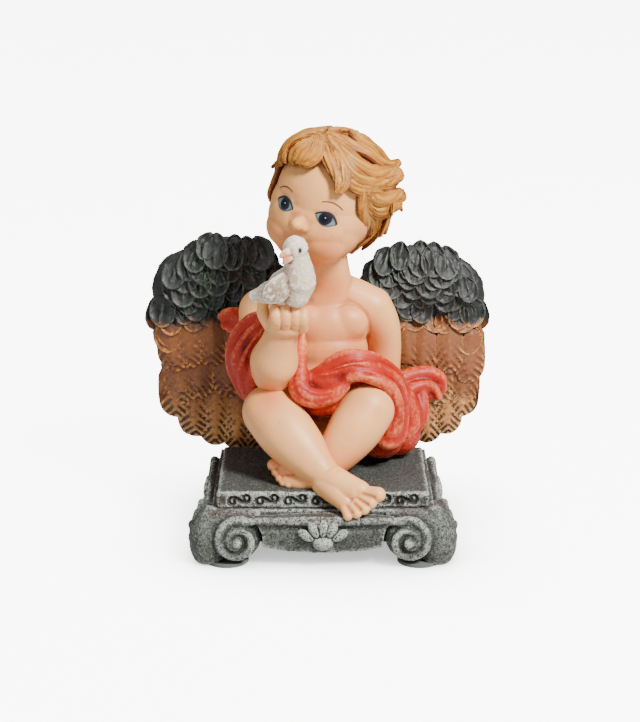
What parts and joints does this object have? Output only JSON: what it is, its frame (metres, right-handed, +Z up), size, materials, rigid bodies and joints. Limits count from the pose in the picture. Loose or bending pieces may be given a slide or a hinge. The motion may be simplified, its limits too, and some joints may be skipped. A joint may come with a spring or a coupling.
{
  "type": "angel figurine",
  "caption": "Painted resin figurine of a seated baby angel in a red drape, holding a white dove, on a square pedestal with scrolled corners.",
  "frame": {"origin": "middle of the pedestal's footprint, on the surface it stands on", "axes": "+Z up; +X towards the angel's left hand, which is to the viewer's right; -Y towards the viewer"},
  "size_m": [0.1072, 0.07, 0.1259],
  "materials": {
    "stone_paint": "matt grey-green stone effect, black spatter, pale dry-brushed edges, over cast resin",
    "pad_rubber": "smooth matt rubber",
    "skin_paint": "satin peach paint with airbrushed blush, over cast resin",
    "hair_paint": "satin golden ochre paint with brown crevices, over cast resin",
    "drape_paint": "satin coral red paint with pale dry-brushed folds, over cast resin",
    "wing_paint": "matt paint from near black at the top to amber and tan at the tips, over cast resin",
    "dove_paint": "matt off-white gritty paint with a brown wash, over cast resin"
  },
  "bodies": {
    "root": {"pedestal": "stone_paint", "corner_scrolls": "stone_paint", "palmettes": "stone_paint", "seat_slab": "stone_paint", "base_pads": "pad_rubber", "torso": "skin_paint", "head": "skin_paint", "hair": "hair_paint", "right_arm": "skin_paint", "right_hand": "skin_paint", "left_arm": "skin_paint", "right_leg": "skin_paint", "right_foot": "skin_paint", "left_leg": "skin_paint", "left_foot": "skin_paint", "lap_drape": "drape_paint", "arm_drape": "drape_paint", "drape_tail": "drape_paint", "right_wing": "wing_paint", "left_wing": "wing_paint", "dove": "dove_paint"}
  },
  "joints": []
}
